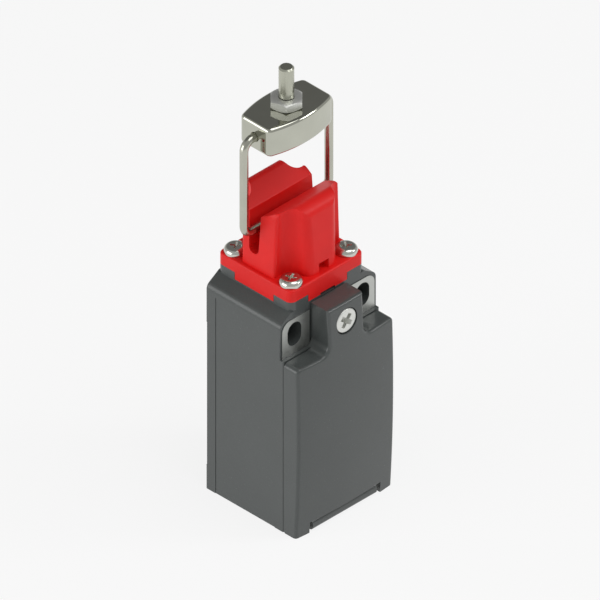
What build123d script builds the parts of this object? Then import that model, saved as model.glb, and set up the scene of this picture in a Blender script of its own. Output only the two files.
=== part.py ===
from build123d import *
import math
import os

# Safety interlock switch, millimetres, +Z up. The origin is the centre of the conduit entry's
# mouth in the bottom face, on the axis of the head's square flange. -Y is the cover side.

# Clearances
running_gap = 0.05           # radial, moving round fits
slip_gap = 0.1               # each side, parts that are pushed together
thread_gap = 0.1             # radial, plain screw shank in its tapped hole
cover_gap = 0.2              # round the cover's hinge and its screw's head
tap_runout = 0.4             # tapped hole beyond the screw's end
cut_over = 1.0               # how far a cutting shape runs past the face that it opens

# Housing
body_half_x = 15.0           # 30 mm wide body
neck_half = 11.5             # 23 mm square neck and head flange
rear_land_rise = 0.2         # mounting plane behind the neck's back face
body_back_y = neck_half + rear_land_rise
pad_plane_y = -neck_half     # ground of the fixing pads, flush with the neck's front face
front_step_depth = 1.1
body_front_y = pad_plane_y - front_step_depth   # seam between housing and cover
rear_relief = 0.5            # depth of the recess between the rear lands
rear_land_low_z = 6.2
rear_land_high_z = 45.0
rear_edge_radius = 0.6
chamber_corner_radius = 2.0
side_relief = 0.12           # shallow panel in each side face
side_panel_front_y = -10.0
side_panel_back_y = 8.6
seam_chamfer = 0.2           # on both parts, makes the groove at the seam
wall = 2.0
chamber_back_y = body_back_y - rear_relief - wall
shoulder_z = 54.8            # height of the sloped shoulder at the body's sides
shoulder_radius = 2.0
neck_radius = 1.6
neck_base_z = 57.0
neck_top_z = 59.3
floor_top_z = 8.5            # thick floor that carries the conduit thread
chamber_top_z = 42.5
conduit_radius = 9.19        # core radius of the M20 x 1.5 entry
conduit_chamfer = 0.6
front_step_z = 45.9          # above this the front stands back for the fixing pads
pad_height = 0.2
pad_rim = 0.6                # coated rim between the pad and the body's side
pad_outer_x = body_half_x - pad_rim
pad_inner_x = 5.9
pad_top_z = 55.2
pad_radius = 2.4
slot_inset = 4.4             # vertical fixing slots for M4 screws
slot_x = body_half_x - slot_inset
slot_width = 4.3
slot_height = 6.1
slot_z = 51.1
shaft_half_x = 6.0           # shaft that joins the wiring chamber to the neck
shaft_front_y = -6.0
shaft_back_y = 7.6
neck_wall = 3.1
neck_bore_radius = neck_half - neck_wall
neck_bore_floor_z = 54.5
pry_notch_half_x = 2.3
pry_notch_height = 0.8
pry_notch_depth = 1.0

# Hinge of the cover
hinge_stand_off = 3.0        # hinge axis in front of the seam
hinge_y = body_front_y - hinge_stand_off
knuckle_half = 1.25          # the housing's tab is square with rounded front edges
knuckle_round = 0.9
hinge_z = knuckle_half + slip_gap
hinge_ear = 5.0              # each ear of the cover, with the notch beside it
hinge_tab_half_x = body_half_x - hinge_ear
hinge_notch = 1.0
hinge_pin_radius = 0.6
hinge_pin_sink = 1.6         # pin's ends below the ears' outer faces
hinge_pin_half_length = body_half_x - hinge_pin_sink
hinge_pin_play = 0.2

# Cover
cover_corner_depth = 3.85    # seam to the front face at the bottom corners
cover_crown = 0.75           # rise of the front face across the width
cover_bow = 0.9              # rise of the front face along the height
cover_edge_radius = 0.8
cover_ledge_z = 45.6
tongue_half_x = 5.45
tongue_top_z = 57.0
tongue_root_radius = 2.3
cover_pocket_depth = 2.2
cover_pocket_radius = 1.5
cover_corner_radius = 1.2
cover_lip = 0.7
gasket_inset = 0.9
gasket_outer_x = body_half_x - gasket_inset
gasket_width = 1.2
gasket_corner = 1.8
gasket_low_z = 5.4
gasket_high_z = 44.2
gasket_depth = 1.0

# Cover screw
cover_screw_z = 52.1
cover_screw_head_radius = 3.05
cover_screw_head_height = 1.9
cover_screw_edge = 0.35
cover_screw_shank_radius = 1.75
cover_screw_point = 0.5
cover_screw_tap_radius = 2.0
cover_screw_reach = 2.2      # into the housing
cover_screw_sink = 0.1       # head below the crowned face
cover_screw_web = 0.75       # wall of the tongue between the head and the retainer
cover_cross_width = 1.0
cover_cross_length = 3.9
cover_cross_depth = 1.4
retainer_radius = 2.9
retainer_thickness = 0.6

# Head
flange_thickness = 3.0
flange_edge_radius = 0.5
flange_top_z = neck_top_z + flange_thickness
tab_half = 6.0
tab_drop = 1.9
tab_thickness = 1.5
spigot_depth = 3.0
tower_margin_x = 1.1         # flange's edge to the foot of the tower
tower_margin_y = 1.15
tower_half_x = neck_half - tower_margin_x
tower_half_y = neck_half - tower_margin_y
tower_draft = 2.65           # degrees
tower_corner_radius = 3.7    # concave clearance round each head screw
tower_top_radius = 3.3       # the same at the tower's top
tower_side_edge = 0.6        # where a clearance meets the side or the back face
tower_front_edge = 2.4       # where it runs out into the front face
horn_end_radius = 2.8
horn_top_z = 80.0
front_horn_radius = 2.6
rear_horn_radius = 1.5
guide_y = 1.4                # centre plane of the slot, the wire loop and the plunger
guide_edge_z = 76.6          # slot mouth
guide_edge_radius = 0.5
guide_mouth_half = 1.8
guide_wall_half = 1.5        # walls run down to the slot's round bottom
guide_bottom_z = 66.0
front_notch_half_x = 1.5
front_notch_height = 2.4
front_notch_depth = 2.0

# Head screws, M3 pan head
head_screw_inset = 2.9
head_screw_offset = neck_half - head_screw_inset
m3_shank_radius = 1.4
m3_head_radius = 2.7
m3_head_height = 1.6
head_screw_reach = 6.8
head_screw_turns = ((-1, -1, 20), (1, -1, 55), (-1, 1, 35), (1, 1, 80))
pan_round = 0.6              # share of the head's height that is rounded over
screw_point = 0.3
cross_width = 0.75
cross_length = 3.0
cross_depth = 1.1

# Wire loop
wire_radius = 1.0
loop_half_x = 13.25
loop_bar_z = 72.5
loop_pivot_z = 97.4
loop_bend_radius = 2.4
loop_end_x = 6.4
loop_rest_gap = 0.3          # bar above the plunger when nothing presses

# Plunger and what guides it
plunger_radius = 3.0
plunger_top_z = loop_bar_z - wire_radius - loop_rest_gap
plunger_head_room = 1.0      # bore above the plunger
plunger_dome = 0.8
bush_radius = 4.9
bush_low_z = 60.3
bush_high_z = 65.2
seal_thickness = 1.2
flange_radius = 4.6
flange_chamfer = 0.4
plunger_flange_thickness = 1.8
plunger_flange_z = bush_low_z - plunger_flange_thickness
stem_radius = 2.2
plunger_stem_low_z = 46.6
plunger_travel = 4.5
seal_land = 2.0              # width of the head's flat seal

# Return spring
spring_mean_radius = 3.4
spring_wire_radius = 0.35
spring_turns = 5.0
spring_seat_z = 46.2

# Contact block
block_side_gap = 1.6         # to the chamber's side walls
block_boss_rise = 0.25       # bosses behind the block, off the chamber's back wall
block_half_x = body_half_x - wall - block_side_gap
block_back_y = chamber_back_y - block_boss_rise
block_front_y = 0.0
block_low_z = 13.0
block_high_z = 41.5
block_edge_radius = 0.8
rod_half_x = 2.4
rod_half_y = 2.3
rod_edge = 0.4
rod_low_z = 15.0
channel_half_x = rod_half_x + 0.3
channel_back_y = guide_y + rod_half_y + 0.5
pole_z = (21.5, 31.5)        # top of each bridge's contact tips
terminal_half_x = 2.8
terminal_half_z = 3.0
terminal_x = block_half_x - terminal_half_x
terminal_rise = 4.4          # screw above its contact plane
terminal_thickness = 0.8
tip_inset = 3.0              # contact tips inside the terminal screws
tip_x = terminal_x - tip_inset
tip_radius = 0.9
tip_height = 0.6
arm_half_x = 1.2
bridge_overhang = 0.2
bridge_half_x = tip_x + tip_radius + bridge_overhang
bridge_half_y = 1.0
bridge_thickness = 0.8
bridge_corner = 0.6
bridge_play = 0.2            # bridge's ends and arms to the walls of their pocket
window_height = 6.6
window_top = 0.4             # window's top above the contact plane
window_half_y = 1.4
bridge_spring_radius = 1.0
bridge_spring_wire = 0.2
bridge_spring_turns = 4.0
clamp_thickness = 0.9
clamp_inset = 0.35           # clamp inside its terminal plate
clamp_corner = 0.6
lid_thickness = 0.9
lid_half_x = terminal_x - terminal_half_x - 0.2
lid_edge = 0.5               # lid inside the block's ends
lid_leg_inset = 0.2          # legs off the channel's and the lid's edges
lid_leg_height = 1.5
small_head_radius = 2.5      # heads of the terminal screws
terminal_screw_reach = 4.5
block_screw_inset = 2.3
block_screw_x = block_half_x - block_screw_inset
block_screw_z = 16.2
block_screw_head_radius = 2.1
block_screw_web = 0.5        # housing wall left behind the tapped holes
block_foot_half = 2.6
block_recess_half = 2.3
block_recess_depth = 3.0

# Earth terminal
earth_inset = 5.0
earth_x = earth_inset - body_half_x
earth_z = 10.8
earth_boss_half = 2.1
earth_boss_front_y = 2.4
earth_head_radius = 2.0
earth_screw_reach = 4.5

# Yoke
yoke_half_x = 9.97
yoke_end_half_y = 4.5
yoke_mid_half_y = 6.3
yoke_below_pivot = 3.7
yoke_above_pivot = 3.9
yoke_low_z = loop_pivot_z - yoke_below_pivot
yoke_high_z = loop_pivot_z + yoke_above_pivot
yoke_corner_radius = 1.5
yoke_edge_radius = 1.0
yoke_hole_play = 0.4         # hole beyond the wire's end
yoke_hole_end_x = loop_end_x - yoke_hole_play
yoke_countersink = 0.2
stud_radius = 1.75
stud_core_radius = 1.4       # inside the yoke and the nut
stud_shoulder = 0.15         # full radius starts this far above the nut
stud_projection = 10.2       # above the yoke
stud_top_z = yoke_high_z + stud_projection
stud_chamfer = 0.35
stud_head_radius = 3.8
stud_head_height = 0.9
stud_head_round = 0.6
nut_across_flats = 7.0
nut_height = 2.2
nut_turn = -15
nut_chamfer = 0.35

os.makedirs("parts", exist_ok=True)


def block(x0, x1, y0, y1, z0, z1):
    """Box between two corners."""
    centre = ((x0 + x1) / 2, (y0 + y1) / 2, (z0 + z1) / 2)
    return Pos(*centre) * Box(x1 - x0, y1 - y0, z1 - z0)


def rod_z(radius, x, y, z0, z1):
    """Round bar along Z."""
    return Pos(x, y, (z0 + z1) / 2) * Cylinder(radius, z1 - z0)


def rod_y(radius, x, z, y0, y1):
    """Round bar along Y."""
    return Pos(x, (y0 + y1) / 2, z) * Rot(90, 0, 0) * Cylinder(radius, y1 - y0)


def rod_x(radius, y, z, x0, x1):
    """Round bar along X."""
    return Pos((x0 + x1) / 2, y, z) * Rot(0, 90, 0) * Cylinder(radius, x1 - x0)


def joined(pieces):
    """Separate solids as one compound, for a node that holds several like pieces."""
    return Compound(children=list(pieces))


def cross_recess(width, length, depth):
    """Cross-shaped driver recess that opens at Z = 0 and goes down."""
    arm = Pos(0, 0, -depth / 2) * Box(length, width, depth)
    return arm + Rot(0, 0, 90) * arm


def pan_screw(shank_radius, head_radius, head_height, reach):
    """Pan head screw along Z: underside of the head at Z = 0, shank down to -reach."""
    pan = rod_z(head_radius, 0, 0, 0, head_height)
    pan = fillet(pan.edges().group_by(Axis.Z)[-1], head_height * pan_round)
    shank = rod_z(shank_radius, 0, 0, -reach, 0)
    shank = chamfer(shank.edges().group_by(Axis.Z)[0], screw_point)
    return pan + shank - Pos(0, 0, head_height) * cross_recess(cross_width, cross_length, cross_depth)


def facing_front(shape, x, y, z):
    """Turn a screw along Z so that its head faces -Y, and put its seat at x, y, z."""
    return Pos(x, y, z) * Rot(90, 0, 0) * shape


def coil(mean_radius, wire, z0, z1, turns):
    """Open coil spring along Z about the origin, its wire inside z0..z1."""
    height = z1 - z0 - 2 * wire
    path = Pos(0, 0, z0 + wire) * Helix(pitch=height / turns, height=height, radius=mean_radius)
    section = Plane(origin=path @ 0, z_dir=path % 0) * Circle(wire)
    return sweep(section, path=path, is_frenet=True)


# Housing


def fixing_slot(y0, y1):
    """The pair of vertical fixing slots as one cutter."""
    outline = Sketch() + [
        Pos(side * slot_x, slot_z) * SlotOverall(slot_height, slot_width, rotation=90)
        for side in (-1, 1)
    ]
    return extrude(Plane.XZ.offset(-y1) * outline, y1 - y0)


def fixing_pads():
    """Bare lands round the fixing slots, on the stepped-back front of the housing."""
    width = pad_outer_x - pad_inner_x
    height = pad_top_z - front_step_z
    pads = []
    for side in (-1, 1):
        centre_x = side * (pad_outer_x + pad_inner_x) / 2
        outline = Pos(centre_x, front_step_z + height / 2) * Rectangle(width, height)
        outer_top = outline.vertices().sort_by(lambda v: side * v.X * 10 + v.Y)[-1]
        outline = fillet(outer_top, pad_radius)
        pads.append(extrude(Plane.XZ.offset(-pad_plane_y) * outline, pad_height))
    return pads


def head_screw_sites():
    """X and Y of the four head screws."""
    return [(x, y) for x in (-head_screw_offset, head_screw_offset)
            for y in (-head_screw_offset, head_screw_offset)]


def knuckle():
    """Housing's half of the cover hinge: a tab that fills the middle of the cover's lower edge."""
    low = hinge_z - knuckle_half
    high = hinge_z + knuckle_half
    tab = block(-hinge_tab_half_x, hinge_tab_half_x, hinge_y - knuckle_half, body_front_y + wall, low, high)
    front_edges = tab.edges().filter_by(Axis.X).group_by(Axis.Y)[0]
    return fillet(front_edges, knuckle_round)


def housing():
    side_profile = make_face(Polyline(
        (-body_half_x, 0), (body_half_x, 0), (body_half_x, shoulder_z),
        (neck_half, neck_base_z), (-neck_half, neck_base_z), (-body_half_x, shoulder_z), close=True))
    shoulders = side_profile.vertices().filter_by(lambda v: abs(v.Y - shoulder_z) < 0.01)
    side_profile = fillet(shoulders, shoulder_radius)
    depth = body_back_y - body_front_y
    shell = extrude(Plane.XZ.offset(-body_back_y) * side_profile, depth)
    uprights = shell.edges().filter_by(Axis.Z).group_by(Axis.Y)
    shell = fillet(uprights[-1], rear_edge_radius)
    shell = chamfer(shell.edges().filter_by(Axis.Z).group_by(Axis.Y)[0], seam_chamfer)
    panel_top_z = shoulder_z - shoulder_radius
    for x in (-body_half_x, body_half_x):
        shell -= block(x - side_relief, x + side_relief, side_panel_front_y, side_panel_back_y, 0, panel_top_z)

    neck = extrude(Pos(0, 0, shoulder_z - wall) * RectangleRounded(2 * neck_half, 2 * neck_half, neck_radius),
                   neck_top_z - shoulder_z + wall)
    shell += neck
    shell -= block(-body_half_x, body_half_x, body_back_y - rear_relief, body_back_y,
                   rear_land_low_z, rear_land_high_z)
    shell -= block(-body_half_x, body_half_x, body_front_y, pad_plane_y, front_step_z, neck_top_z)
    for pad in fixing_pads():
        shell += pad

    inner_x = body_half_x - wall
    chamber = block(-inner_x, inner_x, body_front_y, chamber_back_y, floor_top_z, chamber_top_z)
    back_corners = chamber.edges().filter_by(Axis.Z).group_by(Axis.Y)[-1]
    chamber = fillet(back_corners, chamber_corner_radius)
    shell -= chamber
    shell -= block(-shaft_half_x, shaft_half_x, shaft_front_y, shaft_back_y, chamber_top_z, neck_bore_floor_z)
    shell -= rod_z(neck_bore_radius, 0, 0, neck_bore_floor_z, neck_top_z)
    shell -= rod_z(conduit_radius, 0, 0, 0, floor_top_z)
    top_chamfer = Pos(0, 0, floor_top_z - conduit_chamfer / 2) * Cone(
        conduit_radius, conduit_radius + conduit_chamfer, conduit_chamfer)
    shell -= top_chamfer
    shell -= fixing_slot(pad_plane_y - pad_height, body_back_y)

    # Notches in the neck for the flange's tabs, and the pry notch under the front one
    tab_room = tab_half + slip_gap
    tab_inner = neck_half - tab_thickness - slip_gap
    notch_low = neck_top_z - tab_drop
    for turn in (0, 90, 180, 270):
        shell -= Rot(0, 0, turn) * block(-tab_room, tab_room, tab_inner, neck_half, notch_low, neck_top_z)
    shell -= block(-pry_notch_half_x, pry_notch_half_x, -neck_half, -neck_half + pry_notch_depth,
                   notch_low - pry_notch_height / 2, notch_low)

    # Tapped holes
    tap_radius = m3_shank_radius + thread_gap
    for x, y in head_screw_sites():
        shell -= rod_z(tap_radius, x, y, flange_top_z - head_screw_reach - tap_runout, neck_top_z)
    shell -= rod_y(cover_screw_tap_radius, 0, cover_screw_z, pad_plane_y,
                   pad_plane_y + cover_screw_reach + cut_over)

    # Bosses on the back wall for the contact block's screws and the earth terminal
    in_wall_y = chamber_back_y + wall / 2
    for x in (-block_screw_x, block_screw_x):
        shell += block(x - block_foot_half, x + block_foot_half, block_back_y, in_wall_y,
                       block_screw_z - block_foot_half, block_screw_z + block_foot_half)
        shell -= rod_y(tap_radius, x, block_screw_z, block_back_y,
                       body_back_y - rear_relief - block_screw_web)
    shell += block(earth_x - earth_boss_half, earth_x + earth_boss_half, earth_boss_front_y, in_wall_y,
                   floor_top_z - wall / 2, earth_z + earth_boss_half)
    shell -= rod_z(conduit_radius, 0, 0, 0, floor_top_z)
    shell -= rod_y(tap_radius, earth_x, earth_z, earth_boss_front_y, chamber_back_y)

    shell += knuckle()
    shell -= rod_x(hinge_pin_radius + running_gap, hinge_y, hinge_z, -hinge_tab_half_x, hinge_tab_half_x)
    return shell


def hinge_pin():
    return rod_x(hinge_pin_radius, hinge_y, hinge_z, -hinge_pin_half_length, hinge_pin_half_length)


# Cover


def cover_front_y():
    """Y of the front face's highest point."""
    return body_front_y - cover_corner_depth - cover_crown - cover_bow


def crowned_body():
    """Everything behind the doubly curved front face: an arc bowed along Z, turned about an upright axis."""
    across_radius = body_half_x ** 2 / (2 * cover_crown)
    axis_y = cover_front_y() + across_radius
    mid_z = tongue_top_z / 2
    end_y = cover_front_y() + cover_bow
    section = make_face(
        ThreePointArc((end_y - axis_y, 0), (cover_front_y() - axis_y, mid_z), (end_y - axis_y, tongue_top_z))
        + Line((end_y - axis_y, tongue_top_z), (0, tongue_top_z))
        + Line((0, tongue_top_z), (0, 0))
        + Line((0, 0), (end_y - axis_y, 0))
    )
    half_angle = 2 * math.degrees(body_half_x / across_radius)
    turned = Rot(0, 0, -half_angle) * revolve(Plane.YZ * section, Axis.Z, 2 * half_angle)
    return Pos(0, axis_y, 0) * turned


def cover_outline():
    """Front view of the cover: plate, two ledges and the central tongue."""
    outline = make_face(Polyline(
        (-body_half_x, 0), (body_half_x, 0), (body_half_x, cover_ledge_z), (tongue_half_x, cover_ledge_z),
        (tongue_half_x, tongue_top_z), (-tongue_half_x, tongue_top_z), (-tongue_half_x, cover_ledge_z),
        (-body_half_x, cover_ledge_z), close=True))
    roots = outline.vertices().filter_by(
        lambda v: abs(v.Y - cover_ledge_z) < 0.01 and abs(v.X) < tongue_half_x + 1)
    outline = fillet(roots, tongue_root_radius)
    corners = outline.vertices().filter_by(
        lambda v: abs(v.Y - cover_ledge_z) < 0.01 and abs(v.X) > body_half_x - 1)
    return fillet(corners, cover_corner_radius)


def tongue_rear_y():
    """The tongue's back face, just clear of the fixing pads."""
    return pad_plane_y - pad_height - slip_gap


def cover():
    tongue_back_y = tongue_rear_y()
    blank = extrude(Plane.XZ.offset(-tongue_back_y) * cover_outline(),
                    tongue_back_y - cover_front_y() + cut_over)
    blank -= block(-body_half_x, body_half_x, body_front_y, tongue_back_y, 0, front_step_z)
    plate = blank & crowned_body()
    front_edges = plate.edges().filter_by(
        lambda e: e.center().Y < body_front_y - cover_corner_depth + cut_over and abs(e.center().Z) > 1.0)
    plate = fillet(front_edges, cover_edge_radius)
    seam_edges = plate.edges().filter_by(Axis.Z).filter_by(
        lambda e: abs(e.center().Y - body_front_y) < 0.01 and abs(e.center().X) > body_half_x - 0.01)
    plate = chamfer(seam_edges, seam_chamfer)

    # Pocket behind the plate and the groove for the gasket
    pocket_x = body_half_x - wall - cover_lip
    pocket_low = gasket_low_z + gasket_width + cover_lip
    pocket_high = gasket_high_z - gasket_width - cover_lip
    pocket = block(-pocket_x, pocket_x, body_front_y - cover_pocket_depth, body_front_y,
                   pocket_low, pocket_high)
    plate -= fillet(pocket.edges().filter_by(Axis.Y), cover_pocket_radius)
    plate -= gasket_ring(gasket_depth)

    # Screw hole in the tongue, with its counterbore and the room for the retainer behind it
    face_y = screw_face_y()
    head_room = cover_screw_head_radius + cover_gap
    plate -= rod_y(head_room, 0, cover_screw_z, face_y - cut_over, face_y + cover_screw_head_height)
    plate -= rod_y(cover_screw_shank_radius + slip_gap, 0, cover_screw_z, face_y, tongue_back_y)
    web_y = face_y + cover_screw_head_height + cover_screw_web
    plate -= rod_y(retainer_radius + slip_gap, 0, cover_screw_z, web_y, tongue_back_y)

    # Hinge: room for the housing's tab, two ears with the pin's bores, a rounded heel
    cut_x = hinge_tab_half_x + hinge_notch
    plate -= block(-cut_x, cut_x, cover_front_y() - cut_over, body_front_y, 0,
                   hinge_z + knuckle_half + cover_gap)
    heel_radius = body_front_y - hinge_y - slip_gap
    heel_corner = block(-body_half_x, body_half_x, hinge_y, body_front_y, 0, hinge_z)
    plate -= heel_corner - rod_x(heel_radius, hinge_y, hinge_z, -body_half_x, body_half_x)
    bore_x = hinge_pin_half_length + hinge_pin_play
    plate -= rod_x(hinge_pin_radius + running_gap, hinge_y, hinge_z, -bore_x, bore_x)
    return plate


def gasket_ring(depth):
    """Rectangular ring that seats on the housing's front edge."""
    height = gasket_high_z - gasket_low_z
    middle = (gasket_high_z + gasket_low_z) / 2
    inner_corner = gasket_corner - gasket_width
    outer = RectangleRounded(2 * gasket_outer_x, height, gasket_corner)
    inner = RectangleRounded(2 * (gasket_outer_x - gasket_width), height - 2 * gasket_width, inner_corner)
    ring = Pos(0, middle) * (outer - inner)
    return extrude(Plane.XZ.offset(-body_front_y) * ring, depth)


def screw_face_y():
    """Y of the cover's front face at the screw."""
    bow_half = tongue_top_z / 2
    drop = cover_bow * ((cover_screw_z - bow_half) / bow_half) ** 2
    return cover_front_y() + drop


def retainer_y():
    """Front of the snap ring that lies in the tongue's pocket, a stroke behind its stop."""
    return tongue_rear_y() - retainer_thickness


def cover_screw():
    reach = pad_plane_y + cover_screw_reach - screw_face_y() - cover_screw_head_height
    head = rod_z(cover_screw_head_radius, 0, 0, 0, cover_screw_head_height - cover_screw_sink)
    head = fillet(head.edges().group_by(Axis.Z)[-1], cover_screw_edge)
    shank = rod_z(cover_screw_shank_radius, 0, 0, -reach, 0)
    shank = chamfer(shank.edges().group_by(Axis.Z)[0], cover_screw_point)
    screw = head + shank
    top = cover_screw_head_height - cover_screw_sink
    screw -= Pos(0, 0, top) * cross_recess(cover_cross_width, cover_cross_length, cover_cross_depth)
    return facing_front(screw, 0, screw_face_y() + cover_screw_head_height, cover_screw_z)


def screw_retainer():
    ring = rod_y(retainer_radius, 0, cover_screw_z, retainer_y(), retainer_y() + retainer_thickness)
    return ring - rod_y(cover_screw_shank_radius + running_gap, 0, cover_screw_z,
                        retainer_y() - cut_over, retainer_y() + retainer_thickness + cut_over)


# Head


def tower_plan(half_x, half_y, corner_radius):
    plan = Sketch() + Rectangle(2 * half_x, 2 * half_y)
    for x, y in head_screw_sites():
        plan -= Pos(x, y) * Circle(corner_radius)
    # The corner left outside each circle is not part of the tower
    plan = plan.faces().sort_by(SortBy.AREA)[-1]
    sharp = plan.vertices().filter_by(lambda v: abs(v.X) > half_x - 0.01 or v.Y > half_y - 0.01)
    plan = fillet(sharp, tower_side_edge)
    on_front = plan.vertices().filter_by(lambda v: v.Y < 0.01 - half_y)
    return fillet(on_front, tower_front_edge)


def horn_profile():
    """Side view of the tower: two horns with a narrow rounded slot between them."""
    face_in = math.tan(math.radians(tower_draft))
    front_z = horn_top_z - front_horn_radius
    rear_z = horn_top_z - rear_horn_radius
    front_y = -(tower_half_y - (front_z - flange_top_z) * face_in)
    rear_y = tower_half_y - (rear_z - flange_top_z) * face_in
    far_y = tower_half_y + cut_over
    wall_end_z = guide_bottom_z + guide_wall_half

    def horn(face_y, arc_z, radius, mouth_y):
        """Points of one horn top: face, middle of the arc, end of the arc at the slope."""
        inward = 1 if face_y < 0 else -1
        centre_y = face_y + inward * radius
        run = abs(mouth_y - centre_y)
        rise = arc_z - guide_edge_z
        slope = math.atan2(rise, run) + math.asin(radius / math.hypot(run, rise))
        end = (centre_y + inward * radius * math.sin(slope), arc_z + radius * math.cos(slope))
        half_turn = (math.pi / 2 + slope) / 2
        mid = (centre_y - inward * radius * math.cos(half_turn), arc_z + radius * math.sin(half_turn))
        return (face_y, arc_z), mid, end

    front = horn(front_y, front_z, front_horn_radius, guide_y - guide_mouth_half)
    rear = horn(rear_y, rear_z, rear_horn_radius, guide_y + guide_mouth_half)
    outline = (
        Line((-far_y, flange_top_z), (-far_y, front_z))
        + Line((-far_y, front_z), front[0])
        + ThreePointArc(*front)
        + Line(front[2], (guide_y - guide_mouth_half, guide_edge_z))
        + Line((guide_y - guide_mouth_half, guide_edge_z), (guide_y - guide_wall_half, wall_end_z))
        + ThreePointArc((guide_y - guide_wall_half, wall_end_z), (guide_y, guide_bottom_z),
                        (guide_y + guide_wall_half, wall_end_z))
        + Line((guide_y + guide_wall_half, wall_end_z), (guide_y + guide_mouth_half, guide_edge_z))
        + Line((guide_y + guide_mouth_half, guide_edge_z), rear[2])
        + ThreePointArc(rear[2], rear[1], rear[0])
        + Line(rear[0], (far_y, rear_z))
        + Line((far_y, rear_z), (far_y, flange_top_z))
        + Line((far_y, flange_top_z), (-far_y, flange_top_z))
    )
    profile = make_face(outline)
    mouth = profile.vertices().filter_by(lambda v: abs(v.Y - guide_edge_z) < 0.01)
    return fillet(mouth, guide_edge_radius)


def head():
    height = horn_top_z - flange_top_z
    draw_in = height * math.tan(math.radians(tower_draft))
    low = Pos(0, 0, flange_top_z) * tower_plan(tower_half_x, tower_half_y, tower_corner_radius)
    high = Pos(0, 0, horn_top_z) * tower_plan(
        tower_half_x - draw_in, tower_half_y - draw_in, tower_top_radius)
    tower = loft([low, high], ruled=True)
    tower &= extrude(Plane.YZ.offset(-body_half_x) * horn_profile(), 2 * body_half_x)
    ends = make_face(Polyline(
        (-tower_half_x, flange_top_z), (tower_half_x, flange_top_z), (tower_half_x - draw_in, horn_top_z),
        (draw_in - tower_half_x, horn_top_z), close=True))
    ends = fillet(ends.vertices().group_by(Axis.Y)[-1], horn_end_radius)
    tower &= extrude(Plane.XZ.offset(-body_half_x) * ends, 2 * body_half_x)

    plate = extrude(Pos(0, 0, neck_top_z) * RectangleRounded(2 * neck_half, 2 * neck_half, neck_radius),
                    flange_thickness)
    plate = fillet(plate.edges().group_by(Axis.Z)[-1], flange_edge_radius)
    shape = plate + tower
    for turn in (0, 90, 180, 270):
        shape += Rot(0, 0, turn) * block(-tab_half, tab_half, neck_half - tab_thickness, neck_half,
                                         neck_top_z - tab_drop, neck_top_z)
    shape += rod_z(neck_bore_radius - slip_gap, 0, 0, neck_top_z - spigot_depth, neck_top_z)
    shape -= block(-pry_notch_half_x, pry_notch_half_x, -neck_half, -neck_half + pry_notch_depth,
                   neck_top_z - tab_drop, neck_top_z - tab_drop + pry_notch_height / 2)
    shape -= block(-front_notch_half_x, front_notch_half_x, -tower_half_y, -tower_half_y + front_notch_depth,
                   flange_top_z, flange_top_z + front_notch_height)
    for x, y in head_screw_sites():
        shape -= rod_z(m3_shank_radius + slip_gap, x, y, neck_top_z, flange_top_z)

    # Stepped bore for the guide bush, the wiper seal and the plunger
    shape -= rod_z(plunger_radius + slip_gap, 0, guide_y, neck_top_z - spigot_depth,
                   plunger_top_z + plunger_head_room)
    shape -= rod_z(bush_radius + running_gap, 0, guide_y, neck_top_z - spigot_depth,
                   bush_high_z + seal_thickness)
    return shape


def head_seal():
    """Flat ring between the head's spigot and the floor of the neck's bore."""
    low = neck_bore_floor_z
    ring = rod_z(neck_bore_radius - slip_gap, 0, 0, low, neck_top_z - spigot_depth)
    return ring - rod_z(neck_bore_radius - seal_land, 0, 0, low - cut_over, neck_top_z)


def head_screws():
    screw = pan_screw(m3_shank_radius, m3_head_radius, m3_head_height, head_screw_reach)
    return joined(
        Pos(x * head_screw_offset, y * head_screw_offset, flange_top_z) * Rot(0, 0, turn) * screw
        for x, y, turn in head_screw_turns
    )


def guide_bush():
    ring = rod_z(bush_radius, 0, guide_y, bush_low_z, bush_high_z)
    return ring - rod_z(plunger_radius + running_gap, 0, guide_y, bush_low_z - cut_over,
                        bush_high_z + cut_over)


def plunger_seal():
    high = bush_high_z + seal_thickness
    ring = rod_z(bush_radius, 0, guide_y, bush_high_z, high)
    return ring - rod_z(plunger_radius + running_gap, 0, guide_y, bush_high_z - cut_over, high + cut_over)


# Plunger and contacts


def plunger():
    shank = rod_z(plunger_radius, 0, guide_y, plunger_flange_z, plunger_top_z)
    shank = fillet(shank.edges().group_by(Axis.Z)[-1], plunger_dome)
    collar = rod_z(flange_radius, 0, guide_y, plunger_flange_z, bush_low_z)
    collar = chamfer(collar.edges().group_by(Axis.Z)[0], flange_chamfer)
    stem = rod_z(stem_radius, 0, guide_y, plunger_stem_low_z, bush_low_z)
    return shank + collar + stem


def return_spring():
    return Pos(0, guide_y, 0) * coil(spring_mean_radius, spring_wire_radius, spring_seat_z,
                                     plunger_flange_z, spring_turns)


def spring_seat():
    """Plate across the shaft that the return spring stands on, with the stem's hole."""
    plate = block(-shaft_half_x + slip_gap, shaft_half_x - slip_gap, shaft_front_y + slip_gap,
                  shaft_back_y - slip_gap, block_high_z, spring_seat_z)
    return plate - rod_z(stem_radius + slip_gap, 0, guide_y, block_high_z - cut_over,
                         spring_seat_z + cut_over)


def window_low(z):
    """Lower end of the rod's window for the bridge whose tips reach up to z."""
    return z + window_top - window_height


def drive_rod():
    """Carrier that takes the plunger's stroke down to the contact bridges."""
    bar = block(-rod_half_x, rod_half_x, guide_y - rod_half_y, guide_y + rod_half_y, rod_low_z,
                block_high_z - plunger_travel)
    bar = chamfer(bar.edges().filter_by(Axis.Z), rod_edge)
    bar += rod_z(stem_radius, 0, guide_y, block_high_z - plunger_travel, plunger_stem_low_z)
    for z in pole_z:
        bar -= block(-rod_half_x, rod_half_x, guide_y - window_half_y, guide_y + window_half_y,
                     window_low(z), z + window_top)
    return bar


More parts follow.
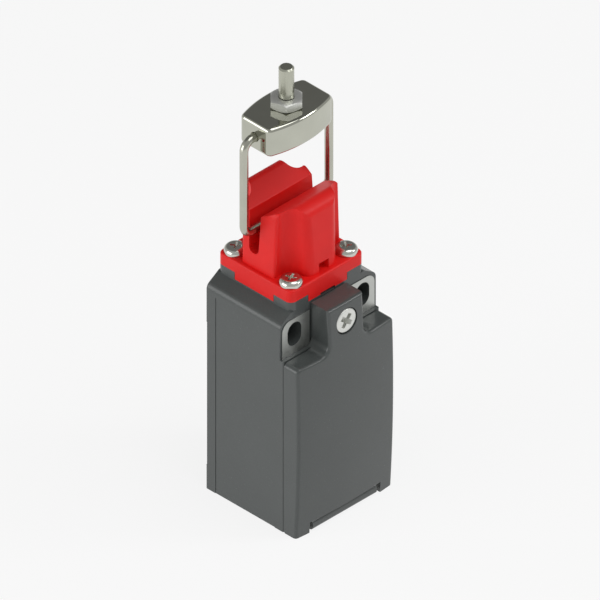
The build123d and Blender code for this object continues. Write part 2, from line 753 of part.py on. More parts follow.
def contact_bridges():
    bars = []
    for z in pole_z:
        low = z - tip_height - bridge_thickness
        bar = block(-bridge_half_x, bridge_half_x, guide_y - bridge_half_y, guide_y + bridge_half_y,
                    low, low + bridge_thickness)
        bar = fillet(bar.edges().filter_by(Axis.Z), bridge_corner)
        for side in (-1, 1):
            bar += rod_z(tip_radius, side * tip_x, guide_y, low + bridge_thickness, z)
        bars.append(bar)
    return joined(bars)


def bridge_springs():
    springs = []
    for z in pole_z:
        high = z - tip_height - bridge_thickness
        springs.append(Pos(0, guide_y, 0) * coil(bridge_spring_radius, bridge_spring_wire, window_low(z),
                                                 high, bridge_spring_turns))
    return joined(springs)


def arm_low_z(z):
    """Underside of the arms over the bridge whose tips reach up to z."""
    return z + running_gap + tip_height


def contact_base():
    base = block(-block_half_x, block_half_x, block_front_y, block_back_y, block_low_z, block_high_z)
    base = fillet(base.edges().filter_by(Axis.Y), block_edge_radius)
    base -= block(-channel_half_x, channel_half_x, block_front_y, channel_back_y, block_low_z, block_high_z)
    pocket_x = bridge_half_x + bridge_play
    pocket_y = guide_y + bridge_half_y + 2 * bridge_play
    for z in pole_z:
        low = z - tip_height - bridge_thickness - plunger_travel - 2 * bridge_play
        base -= block(-pocket_x, pocket_x, block_front_y, pocket_y, low, arm_low_z(z) + terminal_thickness)
    for x, z in terminal_sites():
        base -= rod_y(m3_shank_radius + thread_gap, x, z, block_front_y, block_front_y + terminal_screw_reach)
    recess_high = block_screw_z + block_recess_half
    recess_back = block_front_y + block_recess_depth
    for side in (-1, 1):
        # The recess for the screw's head is open at the block's side
        inner = side * (block_screw_x - block_recess_half)
        outer = side * block_half_x
        base -= block(min(inner, outer), max(inner, outer), block_front_y, recess_back, block_low_z,
                      recess_high)
        base -= rod_y(m3_shank_radius + slip_gap, side * block_screw_x, block_screw_z, block_front_y,
                      block_back_y)
    return base


def lid_rear_y():
    """Back of the lid's plate, just clear of the drive rod."""
    return guide_y - rod_half_y - slip_gap


def contact_lid():
    """Cap over the rod's channel, between the clamps, on three pairs of legs."""
    lid = block(-lid_half_x, lid_half_x, lid_rear_y() - lid_thickness, lid_rear_y(),
                block_low_z + lid_edge, block_high_z - lid_edge)
    lid = fillet(lid.edges().filter_by(Axis.Y), block_edge_radius)
    inner = channel_half_x + lid_leg_inset
    outer = lid_half_x - lid_leg_inset
    above_arms = arm_low_z(pole_z[0]) + terminal_thickness + lid_leg_inset
    leg_low_z = (block_low_z + lid_edge, above_arms, block_high_z - lid_edge - lid_leg_height)
    for low in leg_low_z:
        for x in (-outer, inner):
            lid += block(x, x + outer - inner, lid_rear_y(), block_front_y, low, low + lid_leg_height)
    return lid


def fixed_contacts():
    """Four terminal plates, each with an arm that carries a contact tip over a bridge."""
    plates = []
    seat_y = block_front_y - terminal_thickness
    for z in pole_z:
        arm_low = arm_low_z(z)
        screw_z = z + terminal_rise
        for side in (-1, 1):
            x = side * terminal_x
            seat = block(x - terminal_half_x, x + terminal_half_x, seat_y, block_front_y, arm_low,
                         screw_z + terminal_half_z)
            seat -= rod_y(m3_shank_radius + slip_gap, x, screw_z, seat_y - cut_over, block_front_y + cut_over)
            arm = block(side * tip_x - arm_half_x, side * tip_x + arm_half_x, seat_y,
                        guide_y + bridge_half_y + bridge_play, arm_low, arm_low + terminal_thickness)
            tip = rod_z(tip_radius, side * tip_x, guide_y, z + running_gap, arm_low)
            plates.append(seat + arm + tip)
    return joined(plates)


def terminal_sites():
    """X and Z of the four terminal screws."""
    return [(side * terminal_x, z + terminal_rise) for z in pole_z for side in (-1, 1)]


def terminal_clamps():
    """Cupped square washers under the terminal screws."""
    seat_y = block_front_y - terminal_thickness
    clamps = []
    for x, z in terminal_sites():
        half = terminal_half_x - clamp_inset
        clamp = block(x - half, x + half, seat_y - clamp_thickness, seat_y, z - half, z + half)
        clamp = chamfer(clamp.edges().filter_by(Axis.Y), clamp_corner)
        clamp -= rod_y(m3_shank_radius + slip_gap, x, z, seat_y - clamp_thickness - cut_over,
                       seat_y + cut_over)
        clamps.append(clamp)
    return joined(clamps)


def terminal_screws():
    seat_y = block_front_y - terminal_thickness - clamp_thickness
    reach = terminal_screw_reach + terminal_thickness + clamp_thickness - tap_runout
    screw = pan_screw(m3_shank_radius, small_head_radius, m3_head_height, reach)
    return joined(facing_front(screw, x, seat_y, z) for x, z in terminal_sites())


def block_screws():
    seat_y = block_front_y + block_recess_depth
    reach = body_back_y - rear_relief - block_screw_web - tap_runout - seat_y
    screw = pan_screw(m3_shank_radius, block_screw_head_radius, m3_head_height, reach)
    return joined(facing_front(screw, side * block_screw_x, seat_y, block_screw_z) for side in (-1, 1))


def earth_clamp():
    front = earth_boss_front_y - clamp_thickness
    clamp = block(earth_x - earth_boss_half, earth_x + earth_boss_half, front, earth_boss_front_y,
                  earth_z - earth_boss_half, earth_z + earth_boss_half)
    clamp = chamfer(clamp.edges().filter_by(Axis.Y), clamp_corner)
    return clamp - rod_y(m3_shank_radius + slip_gap, earth_x, earth_z, front - cut_over,
                         earth_boss_front_y + cut_over)


def earth_screw():
    screw = pan_screw(m3_shank_radius, earth_head_radius, m3_head_height, earth_screw_reach)
    return facing_front(screw, earth_x, earth_boss_front_y - clamp_thickness, earth_z)


# Wire loop and yoke


def wire_loop():
    points = [
        (-loop_end_x, guide_y, loop_pivot_z),
        (-loop_half_x, guide_y, loop_pivot_z),
        (-loop_half_x, guide_y, loop_bar_z),
        (loop_half_x, guide_y, loop_bar_z),
        (loop_half_x, guide_y, loop_pivot_z),
        (loop_end_x, guide_y, loop_pivot_z),
    ]
    path = FilletPolyline(*points, radius=loop_bend_radius)
    section = Plane(origin=path @ 0, z_dir=path % 0) * Circle(wire_radius)
    return sweep(section, path=path)


def yoke_block():
    bulge = [(-yoke_half_x, yoke_end_half_y), (0, yoke_mid_half_y), (yoke_half_x, yoke_end_half_y)]
    far_bulge = [(x, -y) for x, y in bulge]
    outline = make_face(
        ThreePointArc(*bulge) + Line(bulge[-1], far_bulge[-1]) + ThreePointArc(*far_bulge[::-1])
        + Line(far_bulge[0], bulge[0]))
    outline = fillet(outline.vertices(), yoke_corner_radius)
    shape = extrude(Pos(0, guide_y, yoke_low_z) * outline, yoke_high_z - yoke_low_z)
    rims = shape.edges().group_by(Axis.Z)
    shape = fillet(list(rims[0]) + list(rims[-1]), yoke_edge_radius)
    hole = wire_radius + running_gap
    for side in (-1, 1):
        inner = side * yoke_hole_end_x
        outer = side * (yoke_half_x + cut_over)
        shape -= rod_x(hole, guide_y, loop_pivot_z, min(inner, outer), max(inner, outer))
        mouth = Rot(0, side * 90, 0) * Cone(hole, hole + yoke_countersink, yoke_countersink)
        shape -= Pos(side * (yoke_half_x - yoke_countersink / 2), guide_y, loop_pivot_z) * mouth
    return shape - rod_z(stud_radius + running_gap, 0, guide_y, yoke_low_z - cut_over, yoke_high_z + cut_over)


def stud():
    pin_low_z = yoke_high_z + nut_height + stud_shoulder
    shank = rod_z(stud_radius, 0, guide_y, pin_low_z, stud_top_z)
    shank = chamfer(shank.edges().group_by(Axis.Z)[-1], stud_chamfer)
    shank += rod_z(stud_core_radius, 0, guide_y, yoke_low_z, pin_low_z)
    low = rod_z(stud_head_radius, 0, guide_y, yoke_low_z - stud_head_height, yoke_low_z)
    low = fillet(low.edges().group_by(Axis.Z)[0], stud_head_round)
    return shank + low


def nut():
    corner = nut_across_flats / math.sqrt(3)
    hexagon = Rot(0, 0, nut_turn) * RegularPolygon(corner, 6)
    body = extrude(Pos(0, guide_y, yoke_high_z) * hexagon, nut_height)
    # Both faces are chamfered to the across-flats circle, as on a pressed nut
    slope = math.tan(math.radians(30))
    flat = nut_across_flats / 2 - nut_chamfer / 2
    rim = corner + cut_over
    half = make_face(Polyline(
        (0, 0), (flat, 0), (rim, (rim - flat) * slope), (rim, nut_height - (rim - flat) * slope),
        (flat, nut_height), (0, nut_height), close=True))
    body &= Pos(0, guide_y, yoke_high_z) * revolve(Plane.XZ * half, Axis.Z)
    top_z = yoke_high_z + nut_height
    return body - rod_z(stud_radius + running_gap, 0, guide_y, yoke_high_z - cut_over, top_z + cut_over)


NODES = {
    "housing": housing,
    "hinge_pin": hinge_pin,
    "cover": cover,
    "cover_gasket": lambda: gasket_ring(gasket_depth - running_gap),
    "cover_screw": cover_screw,
    "screw_retainer": screw_retainer,
    "head": head,
    "head_seal": head_seal,
    "head_screws": head_screws,
    "guide_bush": guide_bush,
    "plunger_seal": plunger_seal,
    "plunger": plunger,
    "return_spring": return_spring,
    "spring_seat": spring_seat,
    "drive_rod": drive_rod,
    "contact_bridges": contact_bridges,
    "bridge_springs": bridge_springs,
    "contact_base": contact_base,
    "contact_lid": contact_lid,
    "fixed_contacts": fixed_contacts,
    "terminal_clamps": terminal_clamps,
    "terminal_screws": terminal_screws,
    "block_screws": block_screws,
    "earth_clamp": earth_clamp,
    "earth_screw": earth_screw,
    "wire_loop": wire_loop,
    "yoke_block": yoke_block,
    "stud": stud,
    "nut": nut,
}

for node, make in NODES.items():
    export_step(make(), f"parts/{node}.step")
    print("wrote", node)
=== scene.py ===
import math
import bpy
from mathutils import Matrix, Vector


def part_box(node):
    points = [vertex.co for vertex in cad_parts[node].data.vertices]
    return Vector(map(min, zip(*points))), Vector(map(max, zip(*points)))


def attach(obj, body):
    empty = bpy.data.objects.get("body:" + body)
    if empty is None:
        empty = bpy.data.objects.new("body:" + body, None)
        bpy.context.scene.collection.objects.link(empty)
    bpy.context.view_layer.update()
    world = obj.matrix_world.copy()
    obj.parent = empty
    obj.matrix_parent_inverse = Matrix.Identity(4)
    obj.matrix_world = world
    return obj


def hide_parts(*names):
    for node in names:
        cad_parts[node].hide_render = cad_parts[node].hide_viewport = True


bl_info = {
    "name": "Safety interlock switch",
    "version": (1, 0, 0),
    "blender": (4, 5, 0),
    "location": "View3D > Sidebar > Interlock",
    "description": "Dresses the safety interlock switch and sets its stage",
    "category": "Object",
}

import bmesh
import bpy
from mathutils import Vector

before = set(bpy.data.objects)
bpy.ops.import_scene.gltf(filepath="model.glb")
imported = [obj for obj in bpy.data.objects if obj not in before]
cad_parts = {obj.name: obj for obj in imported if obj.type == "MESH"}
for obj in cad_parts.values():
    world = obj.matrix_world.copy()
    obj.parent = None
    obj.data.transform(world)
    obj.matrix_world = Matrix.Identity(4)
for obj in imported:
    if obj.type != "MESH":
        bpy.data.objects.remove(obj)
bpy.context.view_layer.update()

MM = 0.001
# Vertices nearer than this are one vertex
WELD = 0.002 * MM
# How near a height counts as that height
LEVEL = 0.001 * MM


def linear(code):
    """sRGB hex colour as linear red, green and blue."""
    parts = [int(code[i:i + 2], 16) / 255 for i in (1, 3, 5)]
    return tuple(c / 12.92 if c <= 0.04045 else ((c + 0.055) / 1.055) ** 2.4 for c in parts)


# Properties


def length(name, description, millimetres):
    return bpy.props.FloatProperty(
        name=name, description=description, default=millimetres * MM, min=0, unit="LENGTH",
        precision=5)


def colour(name, description, code):
    return bpy.props.FloatVectorProperty(
        name=name, description=description, default=linear(code), min=0, max=1, size=3,
        subtype="COLOR")


class InterlockFinishes(bpy.types.PropertyGroup):
    """Colours of the switch's finishes."""

    coat: colour("Powder coat", "Grey coat of the housing and the cover", "#4C504F")
    bare_zinc: colour("Bare pads", "Machined metal of the fixing pads", "#BDBFBB")
    red: colour("Red polyamide", "Moulded head", "#E61C1A")
    zinc: colour("Zinc plate", "Screws and nut", "#CDCEC6")
    # The nut's zinc plate darkened as painted shade for the stud
    stud: colour("Drawn stud", "Stud under its thin zinc", "#B6B7A9")
    stainless: colour("Stainless wire", "Wire loop", "#B8B8AC")
    chrome: colour("Bright plate", "Yoke block", "#B8B9AD")
    spring: colour("Spring steel", "Springs", "#9A9A98")
    brass: colour("Brass", "Contacts and bush", "#C8A356")
    black: colour("Black moulding", "Contact block and plunger", "#1B1B1D")
    pale: colour("Pale moulding", "Drive rod and lid", "#C9C8BE")
    rubber: colour("Rubber", "Gasket and seals", "#161616")


class InterlockSizes(bpy.types.PropertyGroup):
    """Sizes of the pieces that are modelled here, and of the marks in the finishes."""

    screw_head: length("Pan head radius", "Head screws", 2.7)
    screw_head_height: length("Pan head height", "Head screws", 1.6)
    screw_head_rounding: length("Pan head rounding", "Upper edge of the head screws", 1.2)
    screw_shank: length("Screw shank radius", "Head screws", 1.4)
    screw_reach: length("Screw reach", "Head screws below the head", 6.8)
    cross_length: length("Cross length", "Driver recess of the head screws", 2.9)
    cross_width: length("Cross width", "Driver recess of the head screws", 0.6)
    cross_depth: length("Cross depth", "Driver recess of the head screws", 0.9)
    cover_head: length("Cover screw head radius", "Flush head in the tongue", 3.05)
    cover_head_height: length("Cover screw head height", "Flush head in the tongue", 1.8)
    cover_head_rounding: length("Cover screw head rounding", "Flush head in the tongue", 0.35)
    cover_shank: length("Cover screw shank radius", "Captive screw", 1.75)
    cover_cross_length: length("Cover screw cross length", "Driver recess", 4.1)
    cover_cross_width: length("Cover screw cross width", "Driver recess", 1.25)
    cover_cross_depth: length("Cover screw cross depth", "Driver recess", 1.7)
    screw_point: length("Screw point", "Bevel at the end of each shank", 0.3)
    screw_edge: length("Screw edge", "Broken edges of each screw", 0.08)
    wire: length("Wire radius", "Wire loop", 1.0)
    bend: length("Bend radius", "Wire loop, along its centre line", 2.4)
    wire_end: length("Wire end", "Wire loop's ends in the yoke, from the middle", 6.4)
    speck: length("Coat speck", "Size of the powder coat's grain", 0.35)
    pad_x: length("Pad middle", "Distance of a fixing pad's middle from the middle plane", 10.15)
    pad_half_x: length("Pad half width", "Half width of a fixing pad", 4.3)
    pad_y: length("Pad depth", "Distance of the pads' face in front of the origin", 11.7)
    pad_skin: length("Pad skin", "How near the pads' face is bare", 0.05)
    pad_z: length("Pad height", "Height of a fixing pad's middle", 50.6)
    pad_half_z: length("Pad half height", "Half height of a fixing pad", 4.65)
    thread_reach: length("Thread reach", "Bare radius round the conduit entry's axis", 9.3)
    thread_top: length("Thread top", "Top of the conduit entry's thread", 8.0)
    thread_pitch: length("Thread pitch", "Pitch of the conduit entry's thread", 1.5)


class InterlockStage(bpy.types.PropertyGroup):
    """Camera, floor and lamps."""

    ground: colour("Ground", "Floor and background", "#F6F6F6")
    view_height: length("View height", "What the camera takes in from top to bottom", 132.45)
    floor_half: length("Floor half width", "Half of the floor's side", 900)
    floor_gap: length("Floor gap", "Keeps the floor's face apart from the housing's", 0.05)
    floor_glow: bpy.props.FloatProperty(
        name="Floor glow", description="Strength at which the floor is seen", default=1.07, min=0)
    shadow: bpy.props.FloatProperty(
        name="Shadow", description="Share of the floor's own shade that is seen", default=0.15,
        min=0, max=1, subtype="FACTOR")


# Selecting and shaping


def deselect():
    """Leave any edit mode and deselect every object."""
    if bpy.context.object and bpy.context.object.mode != "OBJECT":
        bpy.ops.object.mode_set(mode="OBJECT")
    bpy.ops.object.select_all(action="DESELECT")


def make_active(piece):
    deselect()
    piece.hide_set(False)
    piece.select_set(True)
    bpy.context.view_layer.objects.active = piece


def select_where(kind, test):
    """In edit mode, select only the faces or edges that pass the test."""
    mesh = bpy.context.object.data
    bpy.ops.mesh.select_mode(type={"faces": "FACE", "edges": "EDGE"}[kind])
    bpy.ops.mesh.select_all(action="DESELECT")
    shape = bmesh.from_edit_mesh(mesh)
    for part in getattr(shape, kind):
        part.select_set(bool(test(part)))
    bmesh.update_edit_mesh(mesh)


def edge_at(edge, z):
    """Whether both ends of an edge lie at that height."""
    return all(abs(v.co.z - z) < LEVEL for v in edge.verts)


def apply_modifier(piece, kind, **settings):
    """Add a modifier with these settings and apply it."""
    make_active(piece)
    modifier = piece.modifiers.new(kind.title(), kind)
    for name, value in settings.items():
        setattr(modifier, name, value)
    bpy.ops.object.modifier_apply(modifier=modifier.name)


def smooth(piece, degrees=35):
    """Shade smooth up to an angle, and keep flat faces flat beside their rounded edges."""
    make_active(piece)
    bpy.ops.object.shade_smooth_by_angle(angle=math.radians(degrees), keep_sharp_edges=False)
    apply_modifier(piece, "WEIGHTED_NORMAL", mode="FACE_AREA", weight=50, keep_sharp=True)


def settle(piece, turn, place):
    """Turn and place a piece, then put that into its mesh."""
    make_active(piece)
    piece.rotation_euler = turn
    piece.location = place
    bpy.ops.object.transform_apply(location=True, rotation=True, scale=True)


def from_node(node, name, degrees=35):
    """Merged and smoothly shaded copy of a CAD node."""
    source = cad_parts[node]
    piece = bpy.data.objects.new(name, source.data.copy())
    bpy.context.collection.objects.link(piece)
    piece.data.materials.clear()
    make_active(piece)
    bpy.ops.object.mode_set(mode="EDIT")
    bpy.ops.mesh.select_all(action="SELECT")
    bpy.ops.mesh.remove_doubles(threshold=WELD)
    bpy.ops.mesh.customdata_custom_splitnormals_clear()
    bpy.ops.object.mode_set(mode="OBJECT")
    smooth(piece, degrees)
    return piece


def finish_piece(piece, material, slot, body, *nodes):
    """Give a piece its material, its body and the CAD nodes that it stands for."""
    piece.data.materials.clear()
    piece.data.materials.append(material)
    if nodes:
        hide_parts(*nodes)
    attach(piece, body)


def paint_nodes(material, *nodes):
    """Give CAD nodes that stay their material."""
    for node in nodes:
        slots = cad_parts[node].data.materials
        slots.clear()
        slots.append(material)


# Materials

MATH = "ShaderNodeMath"
VECTOR_MATH = "ShaderNodeVectorMath"
NOISE = "ShaderNodeTexNoise"
MIX = "ShaderNodeMix"
MAP_RANGE = "ShaderNodeMapRange"
MAPPING = "ShaderNodeMapping"
SEPARATE = "ShaderNodeSeparateXYZ"
BUMP = "ShaderNodeBump"
PRINCIPLED = "ShaderNodeBsdfPrincipled"
MATERIAL_OUT = "ShaderNodeOutputMaterial"
# Places of a Mix node's two colours among its inputs, and of the mixed colour among its outputs
FIRST, SECOND, MIXED = 6, 7, 2
# Height of a full bump in a moulded or coated skin, and in worked metal
SKIN_BUMP = 0.02 * MM
METAL_BUMP = 0.01 * MM
# Full bumps that the thread's flank rises per metre along the axis
THREAD_RIDGE = 14 / MM


def add(tree, kind, inputs=None, **settings):
    """Add one node with its settings. An input takes a value, a socket or a node's first output."""
    made = tree.nodes.new(kind)
    for name, value in settings.items():
        setattr(made, name, value)
    for socket, value in (inputs or {}).items():
        if isinstance(value, bpy.types.Node):
            value = value.outputs[0]
        if isinstance(value, bpy.types.NodeSocket):
            tree.links.new(value, made.inputs[socket])
        else:
            made.inputs[socket].default_value = value
    return made


def new_material(name):
    """Empty material, its tree and the Object coordinates."""
    material = bpy.data.materials.new(name)
    material.use_nodes = True
    tree = material.node_tree
    tree.nodes.clear()
    return material, tree, add(tree, "ShaderNodeTexCoord").outputs["Object"]


def per_metre(millimetres):
    """Noise scale for a grain of that size."""
    return 1 / (millimetres * MM)


def rgba(values, factor=1.0):
    return tuple(min(1.0, c * factor) for c in values) + (1.0,)


def powder_coat(name, look, sizes, machined):
    """Polyester powder coat on die-cast zinc: satin, with a fine pebbled skin whose specks catch
    the light one by one. Where machined is true, the fixing pads and the conduit thread are bare
    metal."""
    material, tree, place = new_material(name)
    grain = add(tree, NOISE, {"Vector": place, "Scale": 1 / sizes.speck, "Detail": 3.0,
                              "Roughness": 0.6})
    cloud = add(tree, NOISE, {"Vector": place, "Scale": per_metre(14), "Detail": 2.0})
    uneven = add(tree, MIX, {"Factor": 0.4, "A": grain, "B": cloud})
    coat = add(tree, MIX, {"Factor": uneven, FIRST: rgba(look.coat, 0.8),
                           SECOND: rgba(look.coat, 1.2)}, data_type="RGBA").outputs[MIXED]
    rough = add(tree, MAP_RANGE, {"Value": grain, "To Min": 0.18, "To Max": 0.31})
    bump = add(tree, BUMP, {"Height": grain, "Strength": 0.12, "Distance": SKIN_BUMP})
    inputs = {"Base Color": coat, "Roughness": rough, "Normal": bump, "IOR": 1.5}
    if machined:
        mask = bare_mask(tree, place, sizes)
        along = add(tree, MAPPING, {"Vector": place, "Scale": (1.0, 1.0, 9.0)})
        cut = add(tree, NOISE, {"Vector": along, "Scale": per_metre(1.1), "Detail": 4.0})
        bare = add(tree, MIX, {"Factor": cut, FIRST: rgba(look.bare_zinc, 0.88),
                               SECOND: rgba(look.bare_zinc, 1.12)}, data_type="RGBA").outputs[MIXED]
        inputs["Base Color"] = add(tree, MIX, {"Factor": mask, FIRST: coat, SECOND: bare},
                                   data_type="RGBA").outputs[MIXED]
        cut_rough = add(tree, MAP_RANGE, {"Value": cut, "To Min": 0.34, "To Max": 0.46})
        inputs["Roughness"] = add(tree, MIX, {"Factor": mask, "A": rough, "B": cut_rough})
        inputs["Metallic"] = mask
        worked = thread_height(tree, place, cut, sizes)
        height = add(tree, MIX, {"Factor": mask, "A": grain, "B": worked})
        tree.links.new(height.outputs[0], bump.inputs["Height"])
    shader = add(tree, PRINCIPLED, inputs)
    add(tree, MATERIAL_OUT, {"Surface": shader})
    return material


def bare_mask(tree, place, sizes):
    """1 on the fixing pads and in the conduit thread, 0 on the coat."""
    axes = add(tree, SEPARATE, {"Vector": place}).outputs
    off_centre = add(tree, MATH, {0: axes["X"]}, operation="ABSOLUTE")
    across = add(tree, MATH, {0: off_centre, 1: sizes.pad_x, 2: sizes.pad_half_x},
                 operation="COMPARE")
    ground = add(tree, MATH, {0: axes["Y"], 1: -sizes.pad_y, 2: sizes.pad_skin},
                 operation="COMPARE")
    upright = add(tree, MATH, {0: axes["Z"], 1: sizes.pad_z, 2: sizes.pad_half_z},
                  operation="COMPARE")
    face = add(tree, MATH, {0: across, 1: ground}, operation="MULTIPLY")
    pads = add(tree, MATH, {0: face, 1: upright}, operation="MULTIPLY")
    flat = add(tree, VECTOR_MATH, {0: place, 1: (1.0, 1.0, 0.0)}, operation="MULTIPLY")
    reach = add(tree, VECTOR_MATH, {0: flat}, operation="LENGTH").outputs["Value"]
    inside = add(tree, MATH, {0: reach, 1: sizes.thread_reach}, operation="LESS_THAN")
    low = add(tree, MATH, {0: axes["Z"], 1: sizes.thread_top}, operation="LESS_THAN")
    bore = add(tree, MATH, {0: inside, 1: low}, operation="MULTIPLY")
    return add(tree, MATH, {0: pads, 1: bore}, operation="MAXIMUM")


def thread_height(tree, place, cut, sizes):
    """Tool marks, and in the floor of the body the turns of the conduit thread."""
    axes = add(tree, SEPARATE, {"Vector": place}).outputs
    turns = add(tree, MATH, {0: axes["Z"], 1: sizes.thread_pitch / 2}, operation="PINGPONG")
    ridge = add(tree, MATH, {0: turns, 1: THREAD_RIDGE}, operation="MULTIPLY")
    low = add(tree, MATH, {0: axes["Z"], 1: sizes.thread_top}, operation="LESS_THAN")
    thread = add(tree, MATH, {0: ridge, 1: low}, operation="MULTIPLY")
    return add(tree, MATH, {0: cut, 1: 0.12, 2: thread}, operation="MULTIPLY_ADD")


def red_polyamide(look):
    """Glass-filled polyamide from a fine-blasted mould: even satin skin, faint orange peel."""
    material, tree, place = new_material("red_polyamide")
    peel = add(tree, NOISE, {"Vector": place, "Scale": per_metre(0.9), "Detail": 2.0})
    flow = add(tree, NOISE, {"Vector": place, "Scale": per_metre(9), "Detail": 2.0})
    fine = add(tree, NOISE, {"Vector": place, "Scale": per_metre(0.25), "Detail": 2.0})
    skin = add(tree, MIX, {"Factor": flow, FIRST: rgba(look.red, 0.9), SECOND: rgba(look.red, 1.1)},
               data_type="RGBA").outputs[MIXED]
    height = add(tree, MATH, {0: fine, 1: 0.4, 2: peel}, operation="MULTIPLY_ADD")
    bump = add(tree, BUMP, {"Height": height, "Strength": 0.12, "Distance": SKIN_BUMP})
    rough = add(tree, MAP_RANGE, {"Value": peel, "To Min": 0.36, "To Max": 0.48})
    shader = add(tree, PRINCIPLED,
                 {"Base Color": skin, "Roughness": rough, "Normal": bump, "IOR": 1.53,
                  "Specular IOR Level": 0.25})
    add(tree, MATERIAL_OUT, {"Surface": shader})
    return material


def worked_metal(name, base, rough_low, rough_high, grain, stretch, strength):
    """Metal with the marks of its making: grain is their width in millimetres, and stretch draws
    them out along the axis whose number is smallest."""
    material, tree, place = new_material(name)
    drawn = add(tree, MAPPING, {"Vector": place, "Scale": stretch})
    marks = add(tree, NOISE, {"Vector": drawn, "Scale": per_metre(grain), "Detail": 3.0})
    smudge = add(tree, NOISE, {"Vector": place, "Scale": per_metre(6), "Detail": 3.0})
    tone = add(tree, MIX, {"Factor": smudge, FIRST: rgba(base, 0.9), SECOND: rgba(base, 1.1)},
               data_type="RGBA").outputs[MIXED]
    both = add(tree, MATH, {0: marks, 1: smudge}, operation="MULTIPLY")
    rough = add(tree, MAP_RANGE, {"Value": both, "From Max": 0.5, "To Min": rough_low,
                                  "To Max": rough_high})
    bump = add(tree, BUMP, {"Height": marks, "Strength": strength, "Distance": METAL_BUMP})
    shader = add(tree, PRINCIPLED,
                 {"Base Color": tone, "Roughness": rough, "Normal": bump, "Metallic": 1.0})
    add(tree, MATERIAL_OUT, {"Surface": shader})
    return material


def moulded_plastic(name, base, rough_low, rough_high):
    """Matt moulding: spark-eroded mould skin with a grain of about a quarter of a millimetre."""
    material, tree, place = new_material(name)
    grain = add(tree, NOISE, {"Vector": place, "Scale": per_metre(0.25), "Detail": 2.0})
    flow = add(tree, NOISE, {"Vector": place, "Scale": per_metre(7), "Detail": 2.0})
    tone = add(tree, MIX, {"Factor": flow, FIRST: rgba(base, 0.85), SECOND: rgba(base, 1.15)},
               data_type="RGBA").outputs[MIXED]
    rough = add(tree, MAP_RANGE, {"Value": grain, "To Min": rough_low, "To Max": rough_high})
    bump = add(tree, BUMP, {"Height": grain, "Strength": 0.2, "Distance": SKIN_BUMP})
    shader = add(tree, PRINCIPLED,
                 {"Base Color": tone, "Roughness": rough, "Normal": bump, "IOR": 1.5})
    add(tree, MATERIAL_OUT, {"Surface": shader})
    return material


# Operators


class InterlockOperator:
    """What the operators share."""

    bl_options = {"REGISTER", "UNDO"}


class INTERLOCK_OT_housing(InterlockOperator, bpy.types.Operator):
    """Coat the die-cast housing and its cover"""

    bl_idname = "interlock.housing"
    bl_label = "Housing and cover"

    def execute(self, context):
        look = context.scene.interlock_finishes
        sizes = context.scene.interlock_sizes
        housing = from_node("housing", "cast_housing")
        finish_piece(housing, powder_coat("coated_die_cast_machined", look, sizes, True),
                     "coated_die_cast", "housing", "housing")
        cover = from_node("cover", "cast_cover")
        finish_piece(cover, powder_coat("coated_die_cast", look, sizes, False),
                     "coated_die_cast", "cover", "cover")
        return {"FINISHED"}


class INTERLOCK_OT_head(InterlockOperator, bpy.types.Operator):
    """Mould the red slotted head"""

    bl_idname = "interlock.head"
    bl_label = "Red head"

    def execute(self, context):
        look = context.scene.interlock_finishes
        head = from_node("head", "moulded_head")
        finish_piece(head, red_polyamide(look), "red_polyamide", "housing", "head")
        return {"FINISHED"}


# Width of a recess's floor as a share of its mouth
RECESS_FLOOR = 0.62
# How far the cutter stands out of the head, as a share of the recess's depth
CUTTER_RISE = 0.3
# Sides that a turned head is drawn with
TURNED_SIDES = 64


def cross_cutter(length_over, width, depth, top):
    """Cross-shaped cutter that narrows downwards, like a cross-recess driver's tip."""
    bpy.ops.mesh.primitive_cube_add(size=1, location=(0, 0, top - depth / 2),
                                    scale=(width, width, depth))
    cutter = bpy.context.object
    bpy.ops.object.transform_apply(location=True, rotation=True, scale=True)
    bpy.ops.object.mode_set(mode="EDIT")
    arm = (length_over - width) / 2
    for way in ((1, 0, 0), (-1, 0, 0), (0, 1, 0), (0, -1, 0)):
        side = Vector(way)
        across = side.cross((0, 0, 1))
        select_where("faces", lambda f: f.normal.dot(side) > 0.9
                     and abs(f.calc_center_median().dot(across)) < width / 4)
        bpy.ops.mesh.extrude_region_move(TRANSFORM_OT_translate={"value": side * arm})
    select_where("faces", lambda f: f.normal.z < -0.9)
    bpy.ops.transform.resize(value=(RECESS_FLOOR, RECESS_FLOOR, 1.0))
    select_where("faces", lambda f: f.normal.z > 0.9)
    bpy.ops.transform.translate(value=(0, 0, depth * CUTTER_RISE))
    bpy.ops.object.mode_set(mode="OBJECT")
    return cutter


def cross_screw(name, sizes, head, height, rounding, segments, shank, reach, cross):
    """Screw along Z, underside of its head at zero: turned head, shank with a point, and a cross
    recess whose length over its arms, width and depth are given as cross."""
    deselect()
    bpy.ops.mesh.primitive_cylinder_add(vertices=TURNED_SIDES, radius=head, depth=height,
                                        location=(0, 0, height / 2))
    screw = bpy.context.object
    screw.name = name
    bpy.ops.object.transform_apply(location=True, rotation=True, scale=True)
    bpy.ops.object.mode_set(mode="EDIT")
    select_where("edges", lambda e: edge_at(e, height))
    bpy.ops.mesh.bevel(offset=rounding, segments=segments, profile=0.5)
    select_where("faces", lambda f: f.normal.z < -0.9)
    bpy.ops.mesh.inset(thickness=head - shank)
    bpy.ops.mesh.extrude_region_move(TRANSFORM_OT_translate={"value": (0, 0, -reach)})
    select_where("edges", lambda e: edge_at(e, -reach))
    bpy.ops.mesh.bevel(offset=sizes.screw_point, segments=1)
    bpy.ops.object.mode_set(mode="OBJECT")
    deselect()
    cutter = cross_cutter(*cross, height)
    apply_modifier(screw, "BOOLEAN", operation="DIFFERENCE", object=cutter, solver="EXACT")
    bpy.data.objects.remove(cutter, do_unlink=True)
    apply_modifier(screw, "BEVEL", width=sizes.screw_edge, segments=2, limit_method="ANGLE",
                   angle_limit=math.radians(35), use_clamp_overlap=True)
    smooth(screw, 30)
    return screw


